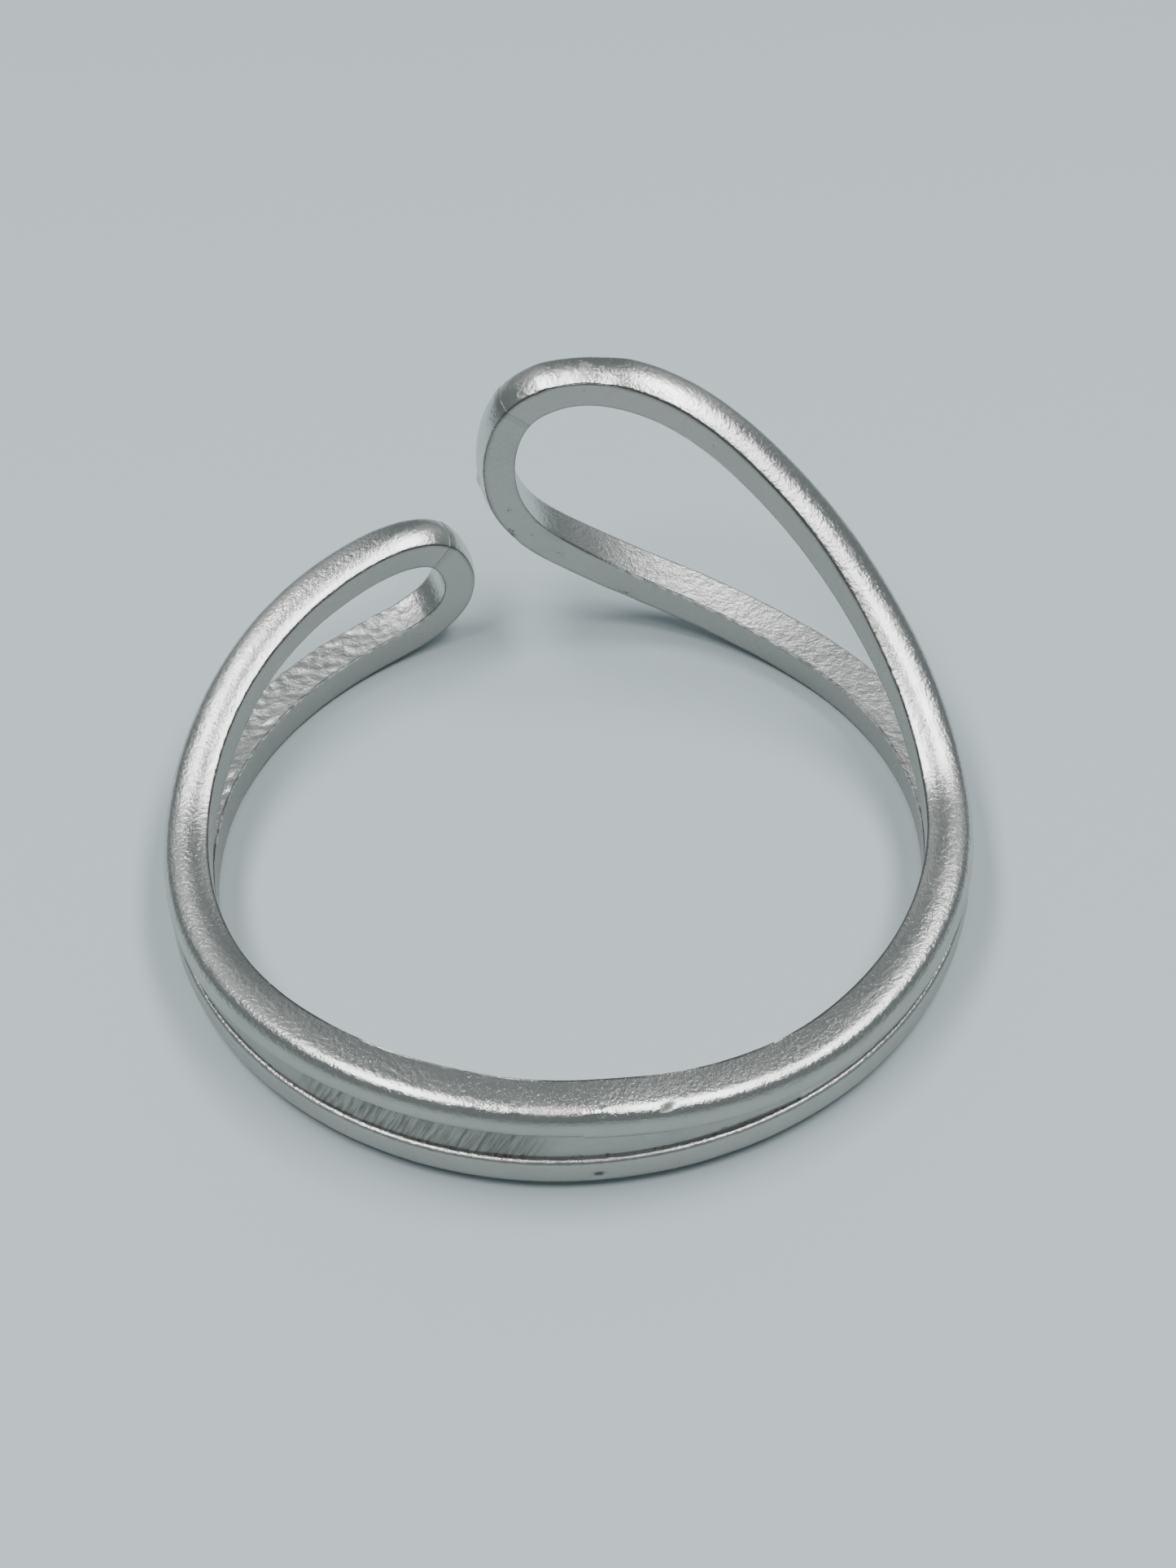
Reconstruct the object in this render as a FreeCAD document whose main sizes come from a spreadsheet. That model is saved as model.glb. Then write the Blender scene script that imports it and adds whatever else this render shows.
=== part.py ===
"""Open loop finger ring, adjustable by bending, in millimetres.

Two bent arms meet at a seam behind the finger. Each arm is a pair of silver
wires that run one above the other round the back of the ring, part at the side
of the finger and close in front of it as a loop: a tall teardrop on the right
arm and a low eye on the left arm. Solder joins the wires at the tip of each
loop and along the sides, and a recessed web fills the gap between them behind
the finger.

The finger axis is +Z, the ring rests on its lower wires at z = 0, and the tips
point to +Y. Places on the ring are given unrolled: the angle in degrees from
+Y towards +X, and the height of the wire's centre.
"""
import math
import os

import FreeCAD
import Part
import Sketcher

V = FreeCAD.Vector
doc = FreeCAD.newDocument("open_loop_ring")

# ---------------------------------------------------------------- driving sizes
DIMENSIONS = {
    "finger_radius": 8.60,        # inside of the band
    "wire_depth": 1.15,           # radial size of every wire
    "wire_height": 0.95,          # size of every wire across its run, at its widest
    "blank_inner_height": 0.76,   # the same at the inner face of the unreamed wire
    "outer_round": 0.34,          # outer corners of the wire
    "ream_allowance": 0.20,       # wire left inside the finger hole, then reamed away
    "seam_gap": 0.08,             # saw cut between the arms behind the finger
    "solder_film": 0.06,          # solder at the loop tips and between the wires
    "inner_recess": 0.10,         # solder and web, set back from the finger
    "solder_recess": 0.12,        # solder along the sides, set back from the outside
    "web_recess": 0.26,           # web, set back from the outside
    "filler_depth": 2.40,         # filler blank below the upper wire's centre, before trimming
}

sheet = doc.addObject("Spreadsheet::Sheet", "Dims")
for row, (alias, value) in enumerate(DIMENSIONS.items(), start=1):
    sheet.set(f"A{row}", alias)
    sheet.set(f"B{row}", str(value))
    sheet.setAlias(f"B{row}", alias)
doc.recompute()

finger_radius = float(sheet.finger_radius)
outer_radius = finger_radius + float(sheet.wire_depth)
wire_height = float(sheet.wire_height)
seam_gap = float(sheet.seam_gap)
solder_film = float(sheet.solder_film)

# Heights of the wire centres where the wires lie flat.
LOWER_WIRE = wire_height / 2
UPPER_WIRE = LOWER_WIRE + wire_height + solder_film
BACK = 2.06                       # upper wire at the seam behind the finger

# ------------------------------------------------------------- routes, unrolled
# Each loop is one route: from the seam along the upper wire, round the tip and
# back along the lower wire. Its joint is where the two wires are soldered.
TEARDROP_ROUTE = [
    (180, BACK), (168, 1.88), (157, 1.67), (146, 1.52), (134, UPPER_WIRE), (116, UPPER_WIRE),
    (98, UPPER_WIRE), (89, 1.54), (80, 1.95), (70, 2.68), (60, 3.56), (48, 4.78), (36, 5.97), (26, 6.89),
    (17, 7.46), (8, 7.67), (0.5, 7.47), (-4.6, 6.96), (-7.4, 6.13), (-8.1, 5.20), (-6.6, 4.10),
    (-2.6, 3.17), (4, 2.36), (11, 1.74), (18, 1.29), (26, 0.94), (35, 0.66), (46, 0.50),
    (60, LOWER_WIRE), (90, LOWER_WIRE), (120, LOWER_WIRE), (150, LOWER_WIRE), (180, LOWER_WIRE),
]
TEARDROP_JOINT = (-4.6, 6.96)
EYE_ROUTE = [
    (-180, BACK), (-167, 2.12), (-153, 2.12), (-140, 2.02), (-129, 1.83), (-118, 1.62), (-108, 1.51),
    (-98, UPPER_WIRE), (-88, 1.55), (-78, 1.84), (-68, 2.23), (-58, 2.62), (-46, 3.00), (-36, 3.24),
    (-28, 3.35), (-23, 3.29), (-19.2, 3.03), (-17.2, 2.55), (-16.7, 1.97), (-18.6, 1.32), (-23, 0.83),
    (-30, 0.58), (-40, 0.49), (-55, LOWER_WIRE), (-85, LOWER_WIRE), (-115, LOWER_WIRE), (-148, LOWER_WIRE),
    (-180, LOWER_WIRE),
]
EYE_JOINT = (-19.2, 3.03)

# A loop's wires lean with their outer side up: from nothing at the first height
# to the third number, over the wire's depth, at the second.
TEARDROP_LEAN = (4.2, 7.3, 0.22)
EYE_LEAN = (1.9, 3.2, 0.22)

WEB_END_RIGHT = 150               # the web runs out where the wires close up
WEB_END_LEFT = -114
FLANK_END_RIGHT = 97              # the side solder ends short of the loops
FLANK_END_LEFT = -96


def on_ring(radius, angle, height):
    """Point at an angle from +Y towards +X, on a circle about the finger axis."""
    turn = math.radians(angle)
    return V(radius * math.sin(turn), radius * math.cos(turn), height)


def unrolled_route(points):
    """Smooth curve through route points, in the plane of arc length and height."""
    scale = math.radians(1) * finger_radius
    flat = [V(angle * scale, height, 0) for angle, height in points]
    curve = Part.BSplineCurve()
    along_seam = V(math.copysign(1, flat[1].x - flat[0].x), 0, 0)
    curve.interpolate(Points=flat, InitialTangent=along_seam, FinalTangent=along_seam * -1)
    return curve


def leaned(lean, height):
    """How much higher the outside of a wire is than its inside, by its centre's height."""
    low, high, most = lean
    share = min(1.0, max(0.0, (height - low) / (high - low)))
    return most * share**2 * (3 - 2 * share)


def wrapped(curve, start, end, radius, lean, steps):
    """Part of an unrolled route between two parameters, wrapped onto a radius."""
    points = []
    for step in range(steps + 1):
        flat = curve.value(start + (end - start) * step / steps)
        height = flat.y + leaned(lean, flat.y) * (radius - finger_radius) / (outer_radius - finger_radius)
        points.append(on_ring(radius, math.degrees(flat.x / finger_radius), height))
    spline = Part.BSplineCurve()
    spline.interpolate(Points=points)
    return Part.Wire([spline.toShape()])


def bind_sizes(sketch, sizes):
    """Add named dimensions to a sketch and bind each one to the sheet."""
    for name, constraint, expression in sizes:
        index = sketch.addConstraint(constraint)
        sketch.renameConstraint(index, name)
        sketch.setExpression(f"Constraints.{name}", expression)


def add_wire_section(sketch):
    """Closed outline of a wire: x is outwards from the finger, y is across the run."""
    half = wire_height / 2
    inner_half = float(sheet.blank_inner_height) / 2
    depth = float(sheet.wire_depth)
    corner = float(sheet.outer_round)
    inner = -float(sheet.ream_allowance)
    quarter = math.pi / 2
    flat = depth - corner
    inner_edge, top, top_round, outer, bottom_round, bottom = sketch.addGeometry([
        Part.LineSegment(V(inner, -inner_half, 0), V(inner, inner_half, 0)),
        Part.LineSegment(V(inner, inner_half, 0), V(flat, half, 0)),
        Part.ArcOfCircle(Part.Circle(V(flat, half - corner, 0), V(0, 0, 1), corner), 0, quarter),
        Part.LineSegment(V(depth, half - corner, 0), V(depth, corner - half, 0)),
        Part.ArcOfCircle(Part.Circle(V(flat, corner - half, 0), V(0, 0, 1), corner), -quarter, 0),
        Part.LineSegment(V(flat, -half, 0), V(inner, -inner_half, 0)),
    ], False)
    start, end, centre = 1, 2, 3
    origin, x_axis = -1, -1
    rule = Sketcher.Constraint
    sketch.addConstraint([
        rule("Coincident", inner_edge, end, top, start),
        rule("Coincident", top, end, top_round, end),
        rule("Tangent", top_round, start, outer, start),
        rule("Tangent", outer, end, bottom_round, end),
        rule("Coincident", bottom_round, start, bottom, start),
        rule("Coincident", bottom, end, inner_edge, start),
        rule("Symmetric", inner_edge, start, inner_edge, end, x_axis),
        rule("Symmetric", bottom_round, start, top_round, end, x_axis),
        rule("Equal", top_round, bottom_round),
        rule("Vertical", top_round, end, top_round, centre),
        rule("Vertical", outer),
    ])
    sizes = [
        ("height", rule("DistanceY", bottom_round, start, top_round, end, wire_height), "Dims.wire_height"),
        ("inside", rule("DistanceY", inner_edge, start, inner_edge, end, 2 * inner_half),
         "Dims.blank_inner_height"),
        ("round", rule("Radius", top_round, corner), "Dims.outer_round"),
        ("ream", rule("DistanceX", inner_edge, end, origin, start, -inner), "Dims.ream_allowance"),
        ("depth", rule("DistanceX", origin, start, outer, start, depth), "Dims.wire_depth"),
    ]
    bind_sizes(sketch, sizes)


def seam_sketch(body, name, side, height):
    """Sketch on one face of the saw cut, with its origin on the finger hole's wall."""
    sketch = body.newObject("Sketcher::SketchObject", name)
    plane = next(item for item in body.Origin.OriginFeatures if item.Role == "YZ_Plane")
    sketch.AttachmentSupport = [(plane, "")]
    sketch.MapMode = "FlatFace"
    sketch.AttachmentOffset = FreeCAD.Placement(
        V(-finger_radius, height, side * seam_gap / 2), FreeCAD.Rotation(V(0, 0, 1), 180))
    sketch.setExpression(".AttachmentOffset.Base.x", "-Dims.finger_radius")
    sketch.setExpression(".AttachmentOffset.Base.z", f"{side} * Dims.seam_gap / 2")
    return sketch


def path_pair(name, curve, start, end, lean, steps):
    """Spine on the finger hole's wall and a guide outside it that keeps sections radial."""
    objects = []
    for suffix, radius in (("spine", finger_radius), ("guide", outer_radius)):
        path = doc.addObject("Part::Feature", f"{name}_{suffix}")
        path.Shape = wrapped(curve, start, end, radius, lean, steps)
        objects.append(path)
    return objects


def sweep_body(name, sketch_maker, spine, guide):
    """PartDesign body: one section carried along a spine, always square to the finger."""
    body = doc.addObject("PartDesign::Body", f"{name}_blank")
    sketch = sketch_maker(body)
    doc.recompute()
    pipe = body.newObject("PartDesign::AdditivePipe", f"{name}_pipe")
    pipe.Profile = sketch
    pipe.Spine = (spine, ["Edge1"])
    pipe.Mode = "Auxiliary"
    pipe.AuxiliarySpine = (guide, ["Edge1"])
    pipe.AuxiliaryCurvilinear = False
    body.Tip = pipe
    doc.recompute()
    return body


def mandrel(name):
    """The finger-sized cylinder that the inside of the ring is reamed to."""
    tool = doc.addObject("Part::Cylinder", f"{name}_mandrel")
    tool.setExpression("Radius", "Dims.finger_radius")
    tool.Height = 40
    tool.Placement = FreeCAD.Placement(V(0, 0, -15), FreeCAD.Rotation())
    return tool


def boolean(kind, name, base, tool):
    """Cut or Common of two objects of the document."""
    result = doc.addObject(f"Part::{kind}", name)
    result.Label = name
    result.Base = base
    result.Tool = tool
    return result


def reamed(name, blank):
    """A blank with the finger hole cut through it, as a finished sub-part."""
    return boolean("Cut", name, blank, mandrel(name))


def make_wire(name, curve, start, end, side, height, lean):
    """One wire, from the saw cut behind the finger to the soldered joint at its tip."""
    spine, guide = path_pair(name, curve, start, end, lean, steps=90)

    def section(body):
        sketch = seam_sketch(body, f"{name}_section", side, height)
        add_wire_section(sketch)
        return sketch

    return reamed(name, sweep_body(name, section, spine, guide))


def make_tip_solder(name, curve, parameter, lean):
    """Film of solder between the ends of the two wires of a loop."""
    flat = curve.value(parameter)
    direction = curve.tangent(parameter)[0]
    angle = math.degrees(flat.x / finger_radius)
    outwards = on_ring(1, angle, 0)
    around = on_ring(1, angle + 90, 0)
    along = around * direction.x + V(0, 0, direction.y)
    outwards = outwards * (outer_radius - finger_radius) + V(0, 0, leaned(lean, flat.y))
    outwards = (outwards - along * outwards.dot(along)).normalize()
    across = along.cross(outwards)
    body = doc.addObject("PartDesign::Body", f"{name}_blank")
    sketch = body.newObject("Sketcher::SketchObject", f"{name}_section")
    sketch.Placement = FreeCAD.Placement(
        on_ring(finger_radius, angle, flat.y), FreeCAD.Rotation(outwards, across, along, "ZXY"))
    add_wire_section(sketch)
    doc.recompute()
    pad = body.newObject("PartDesign::Pad", f"{name}_pad")
    pad.Profile = sketch
    pad.Midplane = True
    pad.setExpression("Length", "Dims.solder_film")
    body.Tip = pad
    doc.recompute()
    return reamed(name, body)


def add_filler_section(sketch):
    """Rectangle that hangs from the centre of the upper wire."""
    inner = -float(sheet.ream_allowance)
    outer = float(sheet.wire_depth)
    drop = float(sheet.filler_depth)
    corners = [V(inner, 0, 0), V(outer, 0, 0), V(outer, drop, 0), V(inner, drop, 0)]
    lines = [Part.LineSegment(corners[i], corners[(i + 1) % 4]) for i in range(4)]
    top, outside, bottom, inside = sketch.addGeometry(lines, False)
    start, end = 1, 2
    origin, x_axis = -1, -1
    rule = Sketcher.Constraint
    sketch.addConstraint([
        rule("Coincident", top, end, outside, start),
        rule("Coincident", outside, end, bottom, start),
        rule("Coincident", bottom, end, inside, start),
        rule("Coincident", inside, end, top, start),
        rule("Horizontal", bottom),
        rule("Vertical", outside),
        rule("Vertical", inside),
        rule("PointOnObject", top, start, x_axis),
        rule("PointOnObject", top, end, x_axis),
    ])
    sizes = [
        ("ream", rule("DistanceX", top, start, origin, start, -inner), "Dims.ream_allowance"),
        ("depth", rule("DistanceX", origin, start, top, end, outer), "Dims.wire_depth"),
        ("drop", rule("DistanceY", outside, start, outside, end, drop), "Dims.filler_depth"),
    ]
    bind_sizes(sketch, sizes)


def make_filler_blank(name, curve, start, end, side, lean):
    """Oversize strip below the upper wire, from the saw cut to the side of the finger."""
    spine, guide = path_pair(name, curve, start, end, lean, steps=60)

    def section(body):
        sketch = seam_sketch(body, f"{name}_section", side, BACK)
        add_filler_section(sketch)
        return sketch

    return sweep_body(name, section, spine, guide)


def ring_sector(name, outer_recess, from_angle, to_angle):
    """Part of a flat ring between two angles from +Y, from the lower wire's centre up."""
    height = 2 * wire_height
    disc = doc.addObject("Part::Cylinder", f"{name}_disc")
    disc.setExpression("Radius", f"Dims.finger_radius + Dims.wire_depth - {outer_recess}")
    disc.Height = height
    disc.Angle = abs(to_angle - from_angle)
    turn = FreeCAD.Rotation(V(0, 0, 1), 90 - max(from_angle, to_angle))
    disc.Placement = FreeCAD.Placement(V(0, 0, LOWER_WIRE), turn)
    hole = doc.addObject("Part::Cylinder", f"{name}_hole")
    hole.setExpression("Radius", "Dims.finger_radius + Dims.inner_recess")
    hole.Height = height + 2
    hole.Placement = FreeCAD.Placement(V(0, 0, LOWER_WIRE - 1), FreeCAD.Rotation())
    return boolean("Cut", f"{name}_sector", disc, hole)


def make_filler(name, blank, wires, outer_recess, from_angle, to_angle):
    """Solder or web that exactly fills the space between two wires."""
    sector = ring_sector(name, outer_recess, from_angle, to_angle)
    strip = boolean("Common", f"{name}_strip", sector, blank)
    upper, lower = wires
    under_upper = boolean("Cut", f"{name}_under_upper", strip, upper)
    return boolean("Cut", name, under_upper, lower)


def make_arm(prefix, route, joint, lean, side, web_end, flank_end):
    """Both wires of one arm with their solder and web: the finished sub-parts."""
    curve = unrolled_route(route)
    first = curve.FirstParameter
    last = curve.LastParameter
    scale = math.radians(1) * finger_radius
    joint_at = curve.parameter(V(joint[0] * scale, joint[1], 0))
    saw = math.asin(seam_gap / 2 / finger_radius) * finger_radius
    upper_start = curve.parameterAtDistance(saw, first)
    lower_start = curve.parameterAtDistance(-saw, last)
    upper_end = curve.parameterAtDistance(-solder_film / 2, joint_at)
    lower_end = curve.parameterAtDistance(solder_film / 2, joint_at)
    filler_stop = curve.parameter(V((flank_end - side * 4) * scale, UPPER_WIRE, 0))
    seam_angle = side * (180 - math.degrees(saw / finger_radius))
    upper = make_wire(f"{prefix}_upper_wire", curve, upper_start, upper_end, side, BACK, lean)
    lower = make_wire(f"{prefix}_lower_wire", curve, lower_start, lower_end, side, LOWER_WIRE, lean)
    blank = make_filler_blank(f"{prefix}_filler", curve, upper_start, filler_stop, side, lean)
    web = make_filler(f"{prefix}_back_web", blank, (upper, lower), "Dims.web_recess", seam_angle, web_end)
    solder = make_filler(
        f"{prefix}_flank_solder", blank, (upper, lower), "Dims.solder_recess", web_end, flank_end)
    tip = make_tip_solder(f"{prefix}_tip_solder", curve, joint_at, lean)
    return [upper, lower, tip, web, solder]


parts = make_arm(
    "teardrop", TEARDROP_ROUTE, TEARDROP_JOINT, TEARDROP_LEAN, 1, WEB_END_RIGHT, FLANK_END_RIGHT)
parts += make_arm("eye", EYE_ROUTE, EYE_JOINT, EYE_LEAN, -1, WEB_END_LEFT, FLANK_END_LEFT)
doc.recompute()

# ---------------------------------------------------------------- check and write
faults = [item.Name for item in doc.Objects if {"Invalid", "Error"} & set(item.State)]
for part in parts:
    if part.Shape.isNull() or not part.Shape.isValid() or len(part.Shape.Solids) != 1:
        faults.append(part.Label)
if faults:
    raise RuntimeError("objects that failed: " + ", ".join(faults))

os.makedirs("parts", exist_ok=True)
for part in parts:
    part.Shape.exportStep(f"parts/{part.Label}.step")
    box = part.Shape.BoundBox
    print(f"{part.Label}: {part.Shape.Volume:.3f} mm3, "
          f"x {box.XMin:.2f}..{box.XMax:.2f}, y {box.YMin:.2f}..{box.YMax:.2f}, "
          f"z {box.ZMin:.2f}..{box.ZMax:.2f}")
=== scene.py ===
"""Open loop finger ring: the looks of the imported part.

The ring is two arms of paired silver wires that meet behind the finger. Every
wire, solder joint and web is a piece of its own, swept along the same routes
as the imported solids, and it stands for one of them.

A place on the ring is given unrolled: the angle in degrees from +Y towards +X,
and the height. Lengths in the classes are millimetres; meshes are metres.
"""
import logging
import math
from dataclasses import dataclass, field
from enum import Enum

import bmesh
import bpy
import numpy as np
from mathutils import Matrix, Vector, noise


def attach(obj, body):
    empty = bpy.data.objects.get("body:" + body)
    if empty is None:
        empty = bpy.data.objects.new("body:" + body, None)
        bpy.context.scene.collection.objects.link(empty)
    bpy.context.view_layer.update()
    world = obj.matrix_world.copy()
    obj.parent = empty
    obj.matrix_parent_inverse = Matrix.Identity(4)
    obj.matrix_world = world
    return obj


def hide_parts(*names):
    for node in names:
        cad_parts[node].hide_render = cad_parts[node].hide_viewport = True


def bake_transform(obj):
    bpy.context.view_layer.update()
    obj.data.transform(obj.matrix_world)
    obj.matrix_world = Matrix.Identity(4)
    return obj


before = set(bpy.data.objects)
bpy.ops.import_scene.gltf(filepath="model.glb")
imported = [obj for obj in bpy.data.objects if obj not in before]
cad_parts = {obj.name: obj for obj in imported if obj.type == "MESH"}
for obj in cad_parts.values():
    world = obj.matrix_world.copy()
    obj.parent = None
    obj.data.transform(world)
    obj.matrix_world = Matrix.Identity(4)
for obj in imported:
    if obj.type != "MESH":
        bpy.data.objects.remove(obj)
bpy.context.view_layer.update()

LOG = logging.getLogger("ring")
MM = 0.001
SHARP_EDGE = math.radians(55)
FILM_SCALE = 900.0
# Colour that tarnishing and painted shade darken the metal towards.
TARNISH_AND_SHADE = (0.055, 0.05, 0.045, 1.0)
# Colour of the painted dark reflection along the edge of the finger face.
RIDGE_DARK_REFLECTION = (0.13, 0.12, 0.11, 1.0)


# ------------------------------------------------------------------- geometry
@dataclass(frozen=True)
class Band:
    """Sizes that every wire of the ring shares, in millimetres."""

    finger_radius: float = 8.60
    depth: float = 1.15
    height: float = 0.95
    inner_height: float = 0.80
    crown_round: float = 0.40
    ridge_round: float = 0.03
    solder_film: float = 0.06

    @property
    def outer_radius(self) -> float:
        """Radius of the outside of the ring."""
        return self.finger_radius + self.depth

    @property
    def lower(self) -> float:
        """Height of the centre of a wire that lies on the floor."""
        return self.height / 2

    @property
    def upper(self) -> float:
        """Height of the centre of a wire that lies on another."""
        return self.lower + self.height + self.solder_film


BAND = Band()


class Side(Enum):
    """Which arm of the ring, as the sign of X."""

    RIGHT = 1
    LEFT = -1


class Route:
    """Smooth run of a loop's wires, from the seam round the tip and back to it."""

    def __init__(self, points: list[tuple[float, float]], side: Side,
                 lean: tuple[float, float, float]) -> None:
        """Fit a clamped cubic through unrolled points.

        Args:
            points: angle in degrees and height in millimetres, in order.
            side: the arm that the route belongs to.
            lean: heights between which the wire's outer side rises, and by how much.
        """
        self.side = side
        self.lean = lean
        scale = math.radians(1) * BAND.finger_radius
        self.knots = np.array([(angle * scale, height) for angle, height in points])
        spans = np.linalg.norm(np.diff(self.knots, axis=0), axis=1)
        self.params = np.concatenate([[0.0], np.cumsum(spans)])
        self.slopes = self._slopes(spans)
        fine = np.linspace(0.0, self.params[-1], 4001)
        flat = np.array([self._flat(t)[0] for t in fine])
        steps = np.linalg.norm(np.diff(flat, axis=0), axis=1)
        self.fine = fine
        self.lengths = np.concatenate([[0.0], np.cumsum(steps)])
        self.flat = flat

    def _slopes(self, spans: np.ndarray) -> np.ndarray:
        """Slopes at the knots that make the curvature run on without a step.

        Args:
            spans: chord lengths between the knots.

        Returns:
            One slope for each knot.
        """
        count = len(self.knots)
        matrix = np.zeros((count, count))
        right = np.zeros((count, 2))
        ahead = -self.side.value
        matrix[0, 0] = matrix[-1, -1] = 1.0
        right[0] = (ahead, 0.0)
        right[-1] = (-ahead, 0.0)
        for i in range(1, count - 1):
            before, after = spans[i - 1], spans[i]
            matrix[i, i - 1 : i + 2] = after, 2 * (before + after), before
            rise_before = (self.knots[i] - self.knots[i - 1]) / before
            rise_after = (self.knots[i + 1] - self.knots[i]) / after
            right[i] = 3 * (after * rise_before + before * rise_after)
        return np.linalg.solve(matrix, right)

    def _flat(self, t: float) -> tuple[np.ndarray, np.ndarray]:
        """Place and direction on the unrolled route.

        Args:
            t: chord parameter.

        Returns:
            Arc and height, and their unit direction.
        """
        i = int(np.clip(np.searchsorted(self.params, t) - 1, 0, len(self.params) - 2))
        span = self.params[i + 1] - self.params[i]
        u = (t - self.params[i]) / span
        a, b = self.knots[i], self.knots[i + 1]
        p, q = self.slopes[i] * span, self.slopes[i + 1] * span
        place = (2 * u**3 - 3 * u**2 + 1) * a + (u**3 - 2 * u**2 + u) * p
        place = place + (3 * u**2 - 2 * u**3) * b + (u**3 - u**2) * q
        rate = (6 * u**2 - 6 * u) * (a - b) + (3 * u**2 - 4 * u + 1) * p + (3 * u**2 - 2 * u) * q
        return place, rate / np.linalg.norm(rate)

    @property
    def length(self) -> float:
        """Whole length of the route."""
        return float(self.lengths[-1])

    def nearest(self, angle: float, height: float) -> float:
        """Length along the route at its nearest place to an unrolled point."""
        point = np.array([angle * math.radians(1) * BAND.finger_radius, height])
        return float(self.lengths[np.argmin(np.linalg.norm(self.flat - point, axis=1))])

    def upper_height(self, angle: float) -> float:
        """Height of the upper wire's centre at an angle behind or beside the finger.

        Args:
            angle: angle in degrees, unrolled.

        Returns:
            Height in millimetres.
        """
        arcs, heights = self.flat[: len(self.flat) // 2].T
        arc = math.radians(angle) * BAND.finger_radius
        order = np.argsort(arcs)
        return float(np.interp(arc, arcs[order], heights[order]))

    def seat(self, length: float) -> tuple[float, float, Matrix]:
        """Axes of the wire at a length along the route.

        Args:
            length: millimetres from the start of the route.

        Returns:
            Angle, height, and a matrix whose x is outwards, y towards the
            inside of the loop and z along the wire.
        """
        t = float(np.interp(length, self.lengths, self.fine))
        (arc, height), (run, rise) = self._flat(t)
        turn = arc / BAND.finger_radius
        outwards = Vector((math.sin(turn), math.cos(turn), 0.0))
        around = Vector((math.cos(turn), -math.sin(turn), 0.0))
        along = (around * run + Vector((0.0, 0.0, rise))).normalized()
        origin = outwards * BAND.finger_radius + Vector((0.0, 0.0, height))
        low, high, most = self.lean
        share = min(1.0, max(0.0, (height - low) / (high - low)))
        outwards = outwards * BAND.depth + Vector((0.0, 0.0, most * share**2 * (3 - 2 * share)))
        outwards = (outwards - along * outwards.dot(along)).normalized()
        inwards = along.cross(outwards) * self.side.value
        axes = Matrix((outwards, inwards, along)).transposed().to_4x4()
        return math.degrees(turn), height, Matrix.Translation(origin) @ axes


def finished_mesh(shape: bmesh.types.BMesh, name: str) -> bpy.types.Mesh:
    """Turn a shape in millimetres into a mesh in metres, smooth but for its cut ends.

    Args:
        shape: the shape, which is freed.
        name: name of the mesh.

    Returns:
        The mesh.
    """
    for edge in shape.edges:
        edge.smooth = edge.calc_face_angle(0.0) < SHARP_EDGE
    bmesh.ops.scale(shape, vec=(MM, MM, MM), verts=list(shape.verts))
    mesh = bpy.data.meshes.new(name)
    shape.to_mesh(mesh)
    shape.free()
    for polygon in mesh.polygons:
        polygon.use_smooth = True
    return mesh


# ---------------------------------------------------------------- swept pieces
class Face(Enum):
    """A face of a wire, as the place on its section: outwards and towards the hole."""

    INSIDE = (0.0, 0.0)
    INSIDE_HOLE_EDGE = (0.02, 0.34)
    INSIDE_CROWN_EDGE = (0.02, -0.34)
    HOLE = (0.62, 0.46)
    CROWN = (0.45, -0.44)
    CREST = (0.95, -0.46)
    SHOULDER = (1.02, -0.38)
    OUTSIDE = (1.15, 0.0)


@dataclass(frozen=True)
class Mark:
    """A small dent or bump on a wire.

    The place is unrolled, in degrees and millimetres. Depth is into the metal,
    and a negative depth stands proud. Sizes are half widths in millimetres. The darkening
    of a mark is tarnishing in most, and a painted dark reflection in the crown's dent.
    """

    angle: float
    height: float
    face: Face
    depth: float
    along: float
    across: float
    stain_and_shade: float = 0.0
    skew: float = 0.0


@dataclass(frozen=True)
class Station:
    """One place along a sweep: its length, its unrolled place and its axes."""

    length: float
    angle: float
    height: float
    seat: Matrix


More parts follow.
